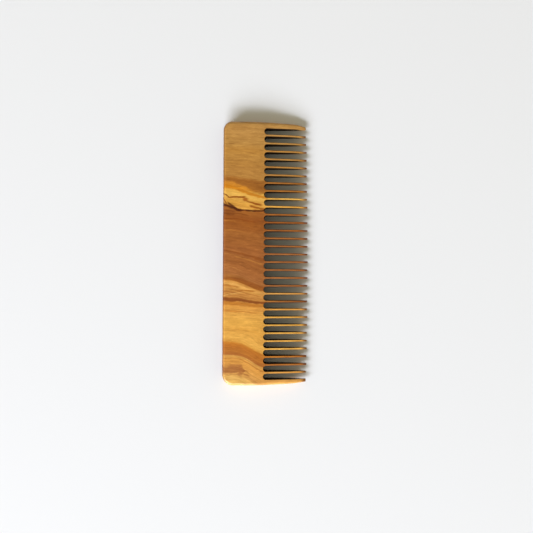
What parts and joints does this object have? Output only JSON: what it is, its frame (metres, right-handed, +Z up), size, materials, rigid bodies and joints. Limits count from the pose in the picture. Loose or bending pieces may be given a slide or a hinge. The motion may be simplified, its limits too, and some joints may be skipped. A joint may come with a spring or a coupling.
{
  "type": "hair comb",
  "caption": "One-piece wooden hair comb with a plain spine, a row of evenly spaced tapered teeth and a wider guard tooth at each end.",
  "frame": {"origin": "centre of the comb's box, on the flat underside it lies on", "axes": "+X from the back edge to the tooth tips, +Y along the comb, +Z up through its thickness"},
  "size_m": [0.054, 0.167, 0.0085],
  "materials": {
    "olive_wood": "finely sanded and oiled, with a soft satin sheen; golden sapwood with brown heartwood bands"
  },
  "bodies": {
    "root": {"spine": "olive_wood", "guard_tooth_near": "olive_wood", "tooth_01": "olive_wood", "tooth_02": "olive_wood", "tooth_03": "olive_wood", "tooth_04": "olive_wood", "tooth_05": "olive_wood", "tooth_06": "olive_wood", "tooth_07": "olive_wood", "tooth_08": "olive_wood", "tooth_09": "olive_wood", "tooth_10": "olive_wood", "tooth_11": "olive_wood", "tooth_12": "olive_wood", "tooth_13": "olive_wood", "tooth_14": "olive_wood", "tooth_15": "olive_wood", "tooth_16": "olive_wood", "tooth_17": "olive_wood", "tooth_18": "olive_wood", "tooth_19": "olive_wood", "tooth_20": "olive_wood", "tooth_21": "olive_wood", "tooth_22": "olive_wood", "tooth_23": "olive_wood", "tooth_24": "olive_wood", "tooth_25": "olive_wood", "tooth_26": "olive_wood", "tooth_27": "olive_wood", "tooth_28": "olive_wood", "tooth_29": "olive_wood", "tooth_30": "olive_wood", "tooth_31": "olive_wood", "guard_tooth_far": "olive_wood"}
  },
  "joints": []
}
